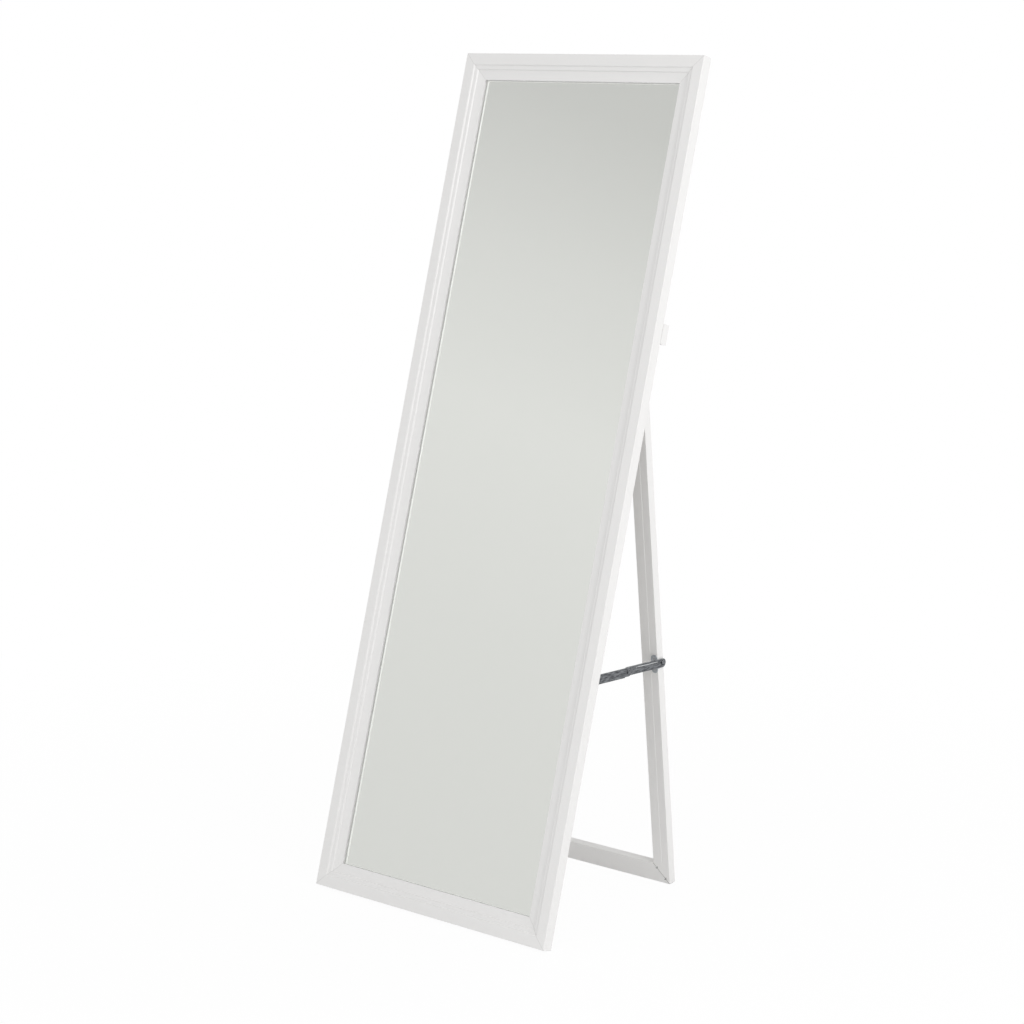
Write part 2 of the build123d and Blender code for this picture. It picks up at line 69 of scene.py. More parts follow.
class Wire:
    # An output of a node. Sums and products of wires add Math nodes.

    def __init__(self, tree, socket):
        self.tree = tree
        self.socket = socket

    def node(self, kind, settings, links, output=0):
        made = self.tree.nodes.new(kind)
        for name, value in settings.items():
            if name == "stops":
                setStops(made.color_ramp, value)
            else:
                setattr(made, name, value)
        for key, value in links.items():
            if isinstance(value, Wire):
                self.tree.links.new(value.socket, made.inputs[key])
            else:
                made.inputs[key].default_value = value
        return Wire(self.tree, made.outputs[output])

    def maths(self, operation, *others):
        # A Math node on this wire and up to two other values
        return self.node("ShaderNodeMath", {"operation": operation}, dict(enumerate((self, *others))))

    def __add__(self, other):
        return self.maths("ADD", other)

    __radd__ = __add__

    def __sub__(self, other):
        return self.maths("SUBTRACT", other)

    def __rsub__(self, other):
        return self * -1.0 + other

    def __mul__(self, other):
        return self.maths("MULTIPLY", other)

    __rmul__ = __mul__

    def __truediv__(self, other):
        return self.maths("DIVIDE", other)

    def __abs__(self):
        return self.maths("ABSOLUTE")


def setStops(ramp, stops):
    # A ramp's colours from (position, colour) pairs in rising order
    ramp.elements[0].position, ramp.elements[0].color = stops[0]
    ramp.elements[1].position, ramp.elements[1].color = stops[-1]
    for position, colour in stops[1:-1]:
        ramp.elements.new(position).color = colour


def newMaterial(name):
    # An empty material, and the wire of its object coordinates
    material = bpy.data.materials.new(name)
    material.use_nodes = True
    tree = material.node_tree
    tree.nodes.clear()
    place = tree.nodes.new("ShaderNodeTexCoord")
    return material, Wire(tree, place.outputs["Object"])


def finishMaterial(material, surface):
    # This shader as the material's surface
    output = material.node_tree.nodes.new("ShaderNodeOutputMaterial")
    material.node_tree.links.new(surface.socket, output.inputs["Surface"])
    return material


def shade(material, place, sockets):
    # The Principled shader with these constants and wires
    return finishMaterial(material, place.node("ShaderNodeBsdfPrincipled", {}, sockets))


def noise(place, scale, detail=2.0, rough=0.5):
    sockets = {"Vector": place, "Scale": scale, "Detail": detail, "Roughness": rough}
    return place.node("ShaderNodeTexNoise", {}, sockets)


def stretched(place, size, turn=(0, 0, 0)):
    # Coordinates turned, then scaled along each side
    turned = place.node("ShaderNodeMapping", {}, {"Vector": place, "Rotation": turn})
    return place.node("ShaderNodeMapping", {}, {"Vector": turned, "Scale": size})


def attribute(place, name, output):
    return place.node("ShaderNodeAttribute", {"attribute_name": name}, {}, output)


def blendColour(place, factor, low, high):
    # From the low colour at nought to the high one at one
    sockets = {"Factor": factor, 6: low, 7: high}
    return place.node("ShaderNodeMix", {"data_type": "RGBA"}, sockets, output=2)


def fade(place, value, start, end, low, high):
    # A soft step from low to high as a value goes from start to end
    sockets = {"Value": value, "From Min": start, "From Max": end, "To Min": low, "To Max": high}
    return place.node("ShaderNodeMapRange", {"interpolation_type": "SMOOTHSTEP"}, sockets)


def bump(place, height, strength, distance):
    sockets = {"Height": height, "Strength": strength, "Distance": distance}
    return place.node("ShaderNodeBump", {}, sockets)


def rayKind(place, *kinds):
    # One where the ray is of any of these kinds
    found = None
    for kind in kinds:
        ray = place.node("ShaderNodeLightPath", {}, {}, output="Is " + kind + " Ray")
        found = ray if found is None else found.maths("MAXIMUM", ray)
    return found


# Materials

lacquerSettings = {
    "low": (0.815, 0.808, 0.800, 1),
    "high": (0.850, 0.844, 0.836, 1),
    # Colour of the painted shade in the hairline where mitres meet
    "joint": (0.30, 0.29, 0.28, 1),
    "grain": (7.0, 260.0, 260.0),
    "clouds": 7.0,
    "peel": 900.0,
    "cloudShare": 0.7,
    "rough": 0.30,
    "cloudRough": 0.10,
    "peelRough": 0.05,
    "hairlineCore": 0.3,
    "groove": 2.0,
    "bumpStrength": 0.10,
    "bumpHeight": 0.0002,
    # Width and darkness of the painted shade in the hairline at a board's mitres
    "mirrorJoint": (0.0005, 0.45),
    "legJoint": (0.0009, 0.9),
    # Stands for the light that reaches the frame inside the glass, which the renderer leaves out
    "glassLight": (0.80, 0.808, 0.775, 1),
    "glassStrength": 0.42,
}


def lacquer(name, joint=None, roundGlass=False):
    # White sprayed lacquer over wood: clouds of tone, faint grain along the piece, orange peel,
    # a hairline of painted shade and a shallow groove where mitres meet, and a little light of its own
    # where it is seen through glass
    s = lacquerSettings
    material, place = newMaterial(name)
    along = attribute(place, "along", "Vector") if joint else place
    grain = noise(stretched(along, s["grain"]), 1.0, detail=4.0, rough=0.6)
    clouds = noise(place, s["clouds"], detail=3.0)
    peel = noise(place, s["peel"], detail=1.0)
    share = s["cloudShare"]
    colour = blendColour(place, clouds * share + grain * (1 - share), s["low"], s["high"])
    height = (grain + peel) * 0.5
    # The hairline at the mitres: painted shade that darkens the colour, with a shallow groove in the bump
    if joint:
        width, darkness = joint
        mitre = attribute(place, "mitre", "Fac")
        mitreShade = fade(place, mitre, width * s["hairlineCore"], width, darkness, 0.0)
        colour = blendColour(place, mitreShade, colour, s["joint"])
        height = height - mitreShade * s["groove"]
    sockets = {
        "Base Color": colour,
        "Roughness": s["rough"] + clouds * s["cloudRough"] + peel * s["peelRough"],
        "Normal": bump(place, height, s["bumpStrength"], s["bumpHeight"]),
    }
    if roundGlass:
        seenThrough = rayKind(place, "Transmission")
        sockets["Emission Color"] = blendColour(place, seenThrough, (0, 0, 0, 1), s["glassLight"])
        sockets["Emission Strength"] = s["glassStrength"]
    return shade(material, place, sockets)


# Tones, gloss and mottle size of each steel, and the strength of its painted highlight on up-facing
# surfaces
steelSettings = {
    "staySteel": {
        "dark": (0.030, 0.033, 0.038, 1),
        "light": (0.27, 0.28, 0.295, 1),
        "rough": 0.20,
        "mottle": 260.0,
        "topHighlight": 0.55,
    },
    "plateSteel": {
        "dark": (0.42, 0.45, 0.48, 1),
        "light": (0.55, 0.58, 0.61, 1),
        "rough": 0.45,
        "mottle": 260.0,
        "topHighlight": 0.0,
    },
    "zincSteel": {
        "dark": (0.50, 0.51, 0.53, 1),
        "light": (0.66, 0.67, 0.69, 1),
        "rough": 0.24,
        "mottle": 320.0,
        "topHighlight": 0.0,
    },
    "nailSteel": {
        "dark": (0.06, 0.06, 0.06, 1),
        "light": (0.14, 0.14, 0.15, 1),
        "rough": 0.45,
        "mottle": 500.0,
        "topHighlight": 0.0,
    },
}
platingSettings = {
    "streaks": (1.0, 0.3, 1.5),
    "scratches": (2400.0, 160.0, 2400.0),
    "patchStart": 0.32,
    "patchEnd": 0.68,
    "patchShare": 0.7,
    # Colour of the painted highlight on up-facing surfaces
    "highlightColour": (0.62, 0.635, 0.655, 1),
    "scratchRough": 0.12,
    "mottleRough": 0.08,
    "scratchBump": 0.15,
    "scratchDepth": 0.0001,
    # How far a surface faces up, from where the painted highlight begins to where it is at full strength
    "highlightStart": 0.20,
    "highlightEnd": 0.75,
    "highlightScratches": 0.2,
}


def steel(name):
    # Plated sheet steel: streaked mottling, fine scratches, uneven gloss, and a painted highlight on
    # surfaces that face up
    s = {**platingSettings, **steelSettings[name]}
    material, place = newMaterial(name)
    streaks = [s["mottle"] * stretch for stretch in s["streaks"]]
    mottle = noise(stretched(place, streaks), 1.0, detail=4.0, rough=0.6)
    scratches = noise(stretched(place, s["scratches"]), 1.0, detail=3.0, rough=0.7)
    patches = fade(place, mottle, s["patchStart"], s["patchEnd"], 0.0, 1.0)
    share = s["patchShare"]
    plated = blendColour(place, patches * share + scratches * (1 - share), s["dark"], s["light"])
    # Up-facing surfaces are painted lighter, broken up by the scratches: a painted highlight
    normals = place.node("ShaderNodeTexCoord", {}, {}, output="Normal")
    upwards = place.node("ShaderNodeSeparateXYZ", {}, {0: normals}, output="Z")
    facing = upwards + scratches * s["highlightScratches"]
    paintedHighlight = fade(place, facing, s["highlightStart"], s["highlightEnd"], 0.0, s["topHighlight"])
    return shade(material, place, {
        "Base Color": blendColour(place, paintedHighlight, plated, s["highlightColour"]),
        "Roughness": s["rough"] + scratches * s["scratchRough"] + mottle * s["mottleRough"],
        "Metallic": 1.0,
        "Normal": bump(place, scratches, s["scratchBump"], s["scratchDepth"]),
    })


boardSettings = {
    "low": (0.46, 0.45, 0.43, 1),
    "high": (0.56, 0.55, 0.53, 1),
    "speck": (0.20, 0.17, 0.14, 1),
    "fibres": (160.0, 160.0, 520.0),
    "specks": 420.0,
    "speckStart": 0.60,
    "speckEnd": 0.72,
    "rough": 0.55,
    "fibreRough": 0.2,
    "bumpStrength": 0.3,
    "bumpHeight": 0.0003,
}


def hardboard():
    # Smooth pressed fibre, grey with darker specks
    s = boardSettings
    material, place = newMaterial("hardboard")
    along = stretched(place, s["fibres"], turn=(mirrorLean, 0, 0))
    fibres = noise(along, 1.0, detail=5.0, rough=0.65)
    specks = fade(place, noise(place, s["specks"]), s["speckStart"], s["speckEnd"], 0.0, 1.0)
    pressed = blendColour(place, fibres, s["low"], s["high"])
    return shade(material, place, {
        "Base Color": blendColour(place, specks, pressed, s["speck"]),
        "Roughness": s["rough"] + fibres * s["fibreRough"],
        "Normal": bump(place, fibres, s["bumpStrength"], s["bumpHeight"]),
    })


sheetSettings = {
    # Two close tones for each sheet, and the size of the unevenness between them
    "glass": ((0.985, 0.992, 0.985, 1), (0.99, 0.996, 0.99, 1), 3.0),
    "silver": ((0.955, 0.957, 0.95, 1), (0.965, 0.967, 0.96, 1), 2.0),
    "film": ((0.52, 0.54, 0.55, 1), (0.60, 0.62, 0.63, 1), 900.0),
    "glassIndex": 1.52,
    "filmRough": 0.6,
    "skin": 0.00004,
}


def sheetMaterial(name, sheet, detail, sockets):
    # A sheet's material, very slightly uneven in tone
    low, high, scale = sheetSettings[sheet]
    material, place = newMaterial(name)
    tone = blendColour(place, noise(place, scale, detail), low, high)
    return shade(material, place, {"Base Color": tone, **sockets})


mirrorLacquer = lacquer("mirrorLacquer", lacquerSettings["mirrorJoint"], roundGlass=True)
legLacquer = lacquer("legLacquer", lacquerSettings["legJoint"])
battenLacquer = lacquer("battenLacquer")
staySteel = steel("staySteel")
plateSteel = steel("plateSteel")
zincSteel = steel("zincSteel")
nailSteel = steel("nailSteel")
board = hardboard()
clearGlass = sheetMaterial("mirrorGlass", "glass", 3.0, {
    "Roughness": 0.0, "Transmission Weight": 1.0, "IOR": sheetSettings["glassIndex"],
})
silver = sheetMaterial("silvering", "silver", 2.0, {"Roughness": 0.0, "Metallic": 1.0})
film = sheetMaterial("safetyFilm", "film", 1.0, {"Roughness": sheetSettings["filmRough"]})
print("materials made")


# Geometry Nodes trees

def newShapeTree(name, inputs):
    # A tree with these named inputs, and a wire for each of them
    tree = bpy.data.node_groups.new(name, "GeometryNodeTree")
    tree.is_modifier = True
    tree.interface.new_socket("Geometry", in_out="OUTPUT", socket_type="NodeSocketGeometry")
    tree.interface.new_socket("Geometry", in_out="INPUT", socket_type="NodeSocketGeometry")
    for label, kind in inputs.items():
        tree.interface.new_socket(label, in_out="INPUT", socket_type="NodeSocket" + kind)
    tree.interface.new_socket("Material", in_out="INPUT", socket_type="NodeSocketMaterial")
    entry = tree.nodes.new("NodeGroupInput")
    return tree, {socket.name: Wire(tree, socket) for socket in entry.outputs if socket.name}


def endShapeTree(tree, shape, given):
    # Real geometry with its material, as the tree's result
    solid = shape.node("GeometryNodeRealizeInstances", {}, {"Geometry": shape})
    sockets = {"Geometry": solid, "Material": given["Material"]}
    dressed = solid.node("GeometryNodeSetMaterial", {}, sockets)
    leave = tree.nodes.new("NodeGroupOutput")
    tree.links.new(dressed.socket, leave.inputs["Geometry"])
    return tree


def grow(tree, seedMesh, values):
    # The plain mesh that a tree makes from a starting mesh and these inputs
    seed = bpy.data.objects.new("seed", seedMesh)
    bpy.context.scene.collection.objects.link(seed)
    grown = seed.modifiers.new("grown", "NODES")
    grown.node_group = tree
    for item in tree.interface.items_tree:
        if item.in_out == "INPUT" and item.name in values:
            grown[item.identifier] = values[item.name]
    weighted = seed.modifiers.new("weighted", "WEIGHTED_NORMAL")
    weighted.keep_sharp = True
    return plainMesh(seed)


def plainMesh(holder):
    # What an object's modifiers make, as a mesh of its own
    bpy.context.view_layer.update()
    mesh = bpy.data.meshes.new_from_object(holder.evaluated_get(bpy.context.evaluated_depsgraph_get()))
    bpy.data.objects.remove(holder)
    return mesh


def addPiece(name, mesh, body, *nodes):
    # A finished mesh as a piece that rides on its body and stands for these nodes
    mesh.name = name
    piece = bpy.data.objects.new(name, mesh)
    bpy.context.scene.collection.objects.link(piece)
    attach(piece, body)
    if nodes:
        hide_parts(*nodes)


# Mitred members: one section swept along each side of a board, and cut back at 45 degrees

def roundedOutline(corners, steps=6):
    # A closed outline through corners of (inset, height, radius), with each radius as an arc
    points = []
    for index, (inset, height, radius) in enumerate(corners):
        corner = Vector((inset, height))
        if not radius:
            points.append(corner)
            continue
        before = (Vector(corners[index - 1][:2]) - corner).normalized()
        after = (Vector(corners[(index + 1) % len(corners)][:2]) - corner).normalized()
        opening = before.angle(after)
        reach = radius / tan(opening / 2)
        centre = corner + (before + after).normalized() * (radius / sin(opening / 2))
        first = corner + before * reach - centre
        last = corner + after * reach - centre
        sweep = first.angle_signed(last)
        count = max(2, round(steps * abs(sweep) / (pi / 2)) + 1)
        for step in range(count + 1):
            turn = -sweep * step / count
            points.append(centre + Vector((first.x * cos(turn) - first.y * sin(turn),
                                           first.x * sin(turn) + first.y * cos(turn))))
    return points


def outlineMesh(points):
    # A closed loop of edges through these points
    mesh = bpy.data.meshes.new("outline")
    loop = [(index, (index + 1) % len(points)) for index in range(len(points))]
    mesh.from_pydata([(point.x, point.y, 0) for point in points], loop, [])
    return mesh


def memberTree():
    # The section swept along a member, its end rings slid to the mitres, then stood in its place;
    # attributes keep each spot's distance along the grain and from the mitre
    tree, given = newShapeTree("mitredMember", {
        "Length": "Float", "Joint Gap": "Float", "Side Turn": "Float", "Side Middle": "Vector",
        "Stand": "Float", "Foot": "Vector",
    })
    start = given["Geometry"]
    section = start.node("GeometryNodeMeshToCurve", {}, {"Mesh": start})
    place = section.node("GeometryNodeInputPosition", {}, {})
    kept = section.node(
        "GeometryNodeStoreNamedAttribute",
        {"data_type": "FLOAT_VECTOR", "domain": "POINT"},
        {"Geometry": section, "Name": "section", "Value": place},
    )
    half = given["Length"] * 0.5 - given["Joint Gap"] / sqrt(2)  # half the gap, along the member
    left = start.node("ShaderNodeCombineXYZ", {}, {0: half * -1.0})
    right = start.node("ShaderNodeCombineXYZ", {}, {0: half})
    line = start.node("GeometryNodeCurvePrimitiveLine", {}, {"Start": left, "End": right})
    path = start.node("GeometryNodeResampleCurve", {}, {"Curve": line, "Count": 3})
    swept = start.node(
        "GeometryNodeCurveToMesh", {}, {"Curve": path, "Profile Curve": kept, "Fill Caps": True}
    )
    sections = start.node(
        "GeometryNodeInputNamedAttribute", {"data_type": "FLOAT_VECTOR"}, {"Name": "section"}
    )
    inset = start.node("ShaderNodeSeparateXYZ", {}, {0: sections}, output="X")
    height = start.node("ShaderNodeSeparateXYZ", {}, {0: sections}, output="Y")
    run = start.node("ShaderNodeSeparateXYZ", {}, {0: place}, output="X")
    end = run.maths("SIGN")
    atEnd = abs(run).maths("GREATER_THAN", 0.001)  # nought for the ring in the member's middle
    across = end * (half - inset) * atEnd
    spot = start.node("ShaderNodeCombineXYZ", {}, {0: across, 1: inset, 2: height})
    cut = start.node("GeometryNodeSetPosition", {}, {"Geometry": swept, "Position": spot})
    grained = start.node(
        "GeometryNodeStoreNamedAttribute",
        {"data_type": "FLOAT_VECTOR", "domain": "POINT"},
        {"Geometry": cut, "Name": "along", "Value": place},
    )
    fromMitre = half - inset - abs(run)
    mitred = start.node(
        "GeometryNodeStoreNamedAttribute",
        {"data_type": "FLOAT", "domain": "POINT"},
        {"Geometry": grained, "Name": "mitre", "Value": fromMitre},
    )
    side = start.node("ShaderNodeCombineXYZ", {}, {2: given["Side Turn"]})
    turned = start.node(
        "GeometryNodeTransform", {},
        {"Geometry": mitred, "Rotation": side, "Translation": given["Side Middle"]},
    )
    stand = start.node("ShaderNodeCombineXYZ", {}, {0: given["Stand"]})
    stood = start.node(
        "GeometryNodeTransform", {},
        {"Geometry": turned, "Rotation": stand, "Translation": given["Foot"]},
    )
    edges = start.node("GeometryNodeInputMeshEdgeAngle", {}, {}, output="Unsigned Angle")
    gentle = 1.0 - edges.maths("GREATER_THAN", crispAngle)
    smooth = start.node(
        "GeometryNodeSetShadeSmooth", {"domain": "FACE"},
        {"Geometry": stood, "Shade Smooth": True},
    )
    eased = start.node(
        "GeometryNodeSetShadeSmooth", {"domain": "EDGE"},
        {"Geometry": smooth, "Shade Smooth": gentle},
    )
    return endShapeTree(tree, eased, given)


mouldingSettings = {
    "width": 0.0493,
    "depth": 0.0235,
    "rebate": 0.0118,
    "lip": 0.0045,
    "band": 0.0215,
    "bead": 0.0065,
    "riserRun": 0.0015,
    "firstRiser": 0.0028,
    "beadDrop": 0.0005,
    "secondRiser": 0.0025,
    "slopeDrop": 0.0029,
    "slopeHollow": 0.0005,
    "hollowRadius": 0.060,
    "bandEdge": 0.0030,
    "stepEdge": 0.0010,
    "beadEdge": 0.0022,
    "lipEdge": 0.0009,
    "frontEdge": 0.0010,
    "backEdge": 0.0020,
}


def mouldingCorners():
    # Section of the frame: inwards from the outer edge, and forwards from the back
    s = mouldingSettings
    bead = s["band"] + s["riserRun"]
    slope = bead + s["bead"] + s["riserRun"]
    beadTop = s["depth"] - s["firstRiser"]
    beadEnd = beadTop - s["beadDrop"]
    slopeTop = beadEnd - s["secondRiser"]
    lipFront = slopeTop - s["slopeDrop"]
    glassFront = lipFront - s["lip"]
    rebateWall = s["width"] - s["rebate"]
    return [
        (0, 0, s["backEdge"]),
        (0, s["depth"], s["frontEdge"]),
        (s["band"], s["depth"], s["bandEdge"]),
        (bead, beadTop, s["stepEdge"]),
        (bead + s["bead"], beadEnd, s["beadEdge"]),
        (slope, slopeTop, s["stepEdge"]),
        ((slope + s["width"]) / 2, (slopeTop + lipFront) / 2 - s["slopeHollow"], s["hollowRadius"]),
        (s["width"], lipFront, s["lipEdge"]),
        (s["width"], glassFront, 0),
        (rebateWall, glassFront, 0),
        (rebateWall, 0, 0),
    ]


legSettings = {
    "width": 0.036,
    "thickness": 0.0175,
    "stepInset": 0.0160,
    "stepRise": 0.0004,
    "stepRun": 0.0004,
    "edge": 0.0010,
    "jointGap": 0.0003,
}


def legCorners():
    # Section of the leg's members, with the low step along the front face
    s = legSettings
    front = s["thickness"] + s["stepRise"]
    return [
        (0, 0, s["edge"]),
        (0, s["thickness"], s["edge"]),
        (s["stepInset"], s["thickness"], 0),
        (s["stepInset"] + s["stepRun"], front, 0),
        (s["width"], front, s["edge"]),
        (s["width"], 0, s["edge"]),
    ]


def addBoard(prefix, stance, corners, gap, material, body):
    # The four members of a mitred board, each in place of its node
    width, height = stance["width"], stance["height"]
    sides = {
        "top_rail": (width, pi, (0, height, 0)),
        "bottom_rail": (width, 0.0, (0, 0, 0)),
        "left_stile": (height, -pi / 2, (-width / 2, height / 2, 0)),
        "right_stile": (height, pi / 2, (width / 2, height / 2, 0)),
    }
    for side, (length, turn, middle) in sides.items():
        mesh = grow(member, outlineMesh(roundedOutline(corners)), {
            "Length": length, "Joint Gap": gap, "Side Turn": turn, "Side Middle": middle,
            "Stand": pi / 2 - stance["lean"], "Foot": stance["foot"], "Material": material,
        })
        addPiece(f"visual_{prefix}_{side}", mesh, body, f"{prefix}_{side}")


def boxNode(start, size, middle):
    box = start.node("GeometryNodeMeshCube", {}, {"Size": size})
    return start.node("GeometryNodeTransform", {}, {"Geometry": box, "Translation": middle})


nailSettings = {
    "leg": 0.0045,
    "thickness": 0.0010,
    "depth": 0.0090,
    "proud": 0.00005,
    "strayTurn": radians(4),
    "seed": 4,
    # Insets of the nails' corners from the members' outer and inner edges
    "frameOuter": 0.0100,
    "frameInner": 0.0135,
    "legOuter": 0.0076,
    "legInner": 0.0094,
}


def nailTree():
    # An angle of thin steel at each starting point, turned by the point's own angle
    s = nailSettings
    tree, given = newShapeTree("vNails", {"Stand": "Float", "Foot": "Vector", "Seed": "Int"})
    start = given["Geometry"]
    leg, thick, depth = s["leg"], s["thickness"], s["depth"]
    first = boxNode(start, (leg, thick, depth), (leg / 2, thick / 2, 0))
    second = boxNode(start, (thick, leg - thick, depth), (thick / 2, (leg + thick) / 2, 0))
    both = first.node("GeometryNodeJoinGeometry", {}, {"Geometry": first})
    tree.links.new(second.socket, both.socket.node.inputs["Geometry"])
    turns = start.node("GeometryNodeInputNamedAttribute", {"data_type": "FLOAT"}, {"Name": "turn"})
    stray = start.node(
        "FunctionNodeRandomValue", {"data_type": "FLOAT"},
        {2: -s["strayTurn"], 3: s["strayTurn"], "Seed": given["Seed"]}, output=1,
    )
    rotation = start.node("ShaderNodeCombineXYZ", {}, {2: turns + stray})
    nails = start.node(
        "GeometryNodeInstanceOnPoints", {}, {"Points": start, "Instance": both, "Rotation": rotation}
    )
    stand = start.node("ShaderNodeCombineXYZ", {}, {0: given["Stand"]})
    stood = start.node(
        "GeometryNodeTransform", {},
        {"Geometry": nails, "Rotation": stand, "Translation": given["Foot"]},
    )
    return endShapeTree(tree, stood, given)


def addNails(name, stance, crowns, inwards, body):
    # Two nails across each of a board's four mitres, with their crowns just proud of the wood;
    # crowns gives each nail's inset and the height of the face that it shows in
    s = nailSettings
    width, height = stance["width"], stance["height"]
    corners = ((-1, 0, 0.0), (1, 0, pi / 2), (1, 1, pi), (-1, 1, -pi / 2))
    points, turns = [], []
    for side, top, turn in corners:
        for inset, crown in crowns.items():
            middle = crown + inwards * (s["depth"] / 2 - s["proud"])
            points.append((side * (width / 2 - inset), height - inset if top else inset, middle))
            turns.append(turn)
    mesh = bpy.data.meshes.new(name)
    mesh.from_pydata(points, [], [])
    mesh.attributes.new("turn", "FLOAT", "POINT").data.foreach_set("value", turns)
    nails = grow(nail, mesh, {
        "Stand": pi / 2 - stance["lean"], "Foot": stance["foot"], "Seed": s["seed"],
        "Material": nailSteel,
    })
    addPiece("visual_" + name, nails, body, name)


member = memberTree()
nail = nailTree()
addBoard("frame", mirrorStance, mouldingCorners(), 0.0, mirrorLacquer, "mirror")
addBoard("leg", legStance, legCorners(), legSettings["jointGap"], legLacquer, "rear_leg")
addNails("frame_v_nails", mirrorStance, {
    nailSettings["frameOuter"]: 0.0,
    mouldingSettings["width"] - nailSettings["frameInner"]: 0.0,
}, 1, "mirror")
addNails("leg_v_nails", legStance, {
    nailSettings["legOuter"]: legSettings["thickness"],
    legSettings["width"] - nailSettings["legInner"]: legSettings["thickness"] + legSettings["stepRise"],
}, -1, "rear_leg")
print("frame and leg swept")


# Pieces refined from the frame's own solids

refineSettings = {
    "mergeDistance": 1e-6,
    "flatAngle": radians(0.4),
    "edgeWidth": 0.00015,
    "battenEdge": 0.0003,
}


def mergedCopy(node):
    # A node's mesh with its loose triangles joined
    mesh = frame["nodes"][node].data.copy()
    shape = bmesh.new()
    shape.from_mesh(mesh)
    bmesh.ops.remove_doubles(shape, verts=shape.verts, dist=refineSettings["mergeDistance"])
    return mesh, shape


def refine(node, material, edgeWidth=refineSettings["edgeWidth"]):
    # A copy of a node with its flats joined, its hard edges eased and its curves shaded smooth
    s = refineSettings
    bodies = frame["record"]["behaviour"]["bodies"]
    body = next(label for label, members in bodies.items() if node in members)
    mesh, shape = mergedCopy(node)
    bmesh.ops.dissolve_limit(shape, angle_limit=s["flatAngle"], verts=shape.verts, edges=shape.edges)
    shape.to_mesh(mesh)
    shape.free()
    mesh.materials.clear()
    mesh.materials.append(material)
    mesh.shade_smooth()
    mesh.set_sharp_from_angle(angle=crispAngle)
    rough = bpy.data.objects.new(node + "_rough", mesh)
    bpy.context.scene.collection.objects.link(rough)
    if edgeWidth:
        eased = rough.modifiers.new("eased", "BEVEL")
        eased.width = edgeWidth
        eased.segments = 2
        eased.limit_method = "ANGLE"
        eased.angle_limit = crispAngle
    weighted = rough.modifiers.new("weighted", "WEIGHTED_NORMAL")
    weighted.keep_sharp = True
    addPiece("visual_" + node, plainMesh(rough), body, node)


staySettings = {
    # Pivots of the stays, as places along Y and Z, and the outer face of the leg's arm
    "legPivot": (0.165247, 0.439135),
    "knuckle": (0.054813, 0.444516),
    "outerFace": 0.2353,
    # The pressed rib: where it stops short of each pivot, its height above them, and its section
    "ribFromLeg": 0.0145,
    "ribFromKnuckle": 0.0270,
    "ribShift": 0.0028,
    "ribHalfWidth": 0.0021,
    "ribHeight": 0.0013,
    "ribTaper": 0.0060,
    "ribTip": 0.02,
    "rings": 24,
    "ringPoints": 16,
}


def ribTree():
    # A pressed rib: a flattened ring swept along the starting line, with tapered ends
    s = staySettings
    tree, given = newShapeTree("pressedRib", {
        "Half Width": "Float", "Height": "Float", "Taper": "Float",
    })
    start = given["Geometry"]
    line = start.node("GeometryNodeMeshToCurve", {}, {"Mesh": start})
    path = start.node("GeometryNodeResampleCurve", {}, {"Curve": line, "Count": s["rings"]})
    along = start.node("GeometryNodeSplineParameter", {}, {}, output="Length")
    whole = start.node("GeometryNodeSplineLength", {}, {}, output="Length")
    fromEnd = along.maths("MINIMUM", whole - along)
    share = (fromEnd / given["Taper"]).maths("MINIMUM", 1.0)
    size = (share * (2.0 - share)).maths("SQRT") + s["ribTip"]
    upright = start.node(
        "GeometryNodeSetCurveNormal", {"mode": "FREE"},
        {"Curve": path, "Normal": (1, 0, 0)},
    )
    sized = start.node("GeometryNodeSetCurveRadius", {}, {"Curve": upright, "Radius": size})
    ring = start.node(
        "GeometryNodeCurvePrimitiveCircle", {"mode": "RADIUS"},
        {"Resolution": s["ringPoints"], "Radius": given["Half Width"]},
    )
    flatness = given["Height"] / given["Half Width"]
    squash = start.node("ShaderNodeCombineXYZ", {}, {0: flatness, 1: 1.0, 2: 1.0})
    oval = start.node("GeometryNodeTransform", {}, {"Geometry": ring, "Scale": squash})
    swept = start.node(
        "GeometryNodeCurveToMesh", {},
        {"Curve": sized, "Profile Curve": oval, "Scale": size, "Fill Caps": True},
    )
    smooth = start.node("GeometryNodeSetShadeSmooth", {"domain": "FACE"}, {"Geometry": swept})
    return endShapeTree(tree, smooth, given)


def addRib(side, outwards):
    # The rib on the outer face of a leg arm, along the line between its pivots
    s = staySettings
    leg = Vector((outwards * s["outerFace"], *s["legPivot"]))
    run = Vector((leg.x, *s["knuckle"])) - leg
    up = Vector((0, run.z, -run.y)).normalized() * s["ribShift"]
    first = leg + up + run.normalized() * s["ribFromLeg"]
    last = leg + up + run - run.normalized() * s["ribFromKnuckle"]
    mesh = bpy.data.meshes.new("ribLine")
    mesh.from_pydata([first, last], [(0, 1)], [])
    pressed = grow(rib, mesh, {
        "Half Width": s["ribHalfWidth"], "Height": s["ribHeight"], "Taper": s["ribTaper"],
        "Material": staySteel,
    })
    addPiece(f"visual_stay_{side}_leg_arm_rib", pressed, f"stay_{side}_leg_arm_body")


rib = ribTree()
addRib("left", -1)
addRib("right", 1)
refine("hinge_batten", battenLacquer, refineSettings["battenEdge"])
for side in ("left", "right"):
    for end in ("leg", "frame"):
        for part in ("arm", "arm_rivet", "rivet"):
            refine(f"stay_{side}_{end}_{part}", staySteel)
    for part in ("leg_bracket", "frame_bracket"):
        refine(f"stay_{side}_{part}", plateSteel)
    for part in ("fixed_leaf", "moving_leaf", "pin"):
        refine(f"hinge_{side}_{part}", zincSteel)
print("stays and hinges refined")


screwSettings = {
    # Shares of the head's radius
    "shank": 0.5,
    "tip": 0.1,
    "length": 5.0,
    "recessLength": 1.15,
    "recessWidth": 0.30,
    "recessDepth": 0.30,
    "headSides": 32,
    "shankSides": 16,
    "rimDepth": 0.0001,
    "seed": 7,
}


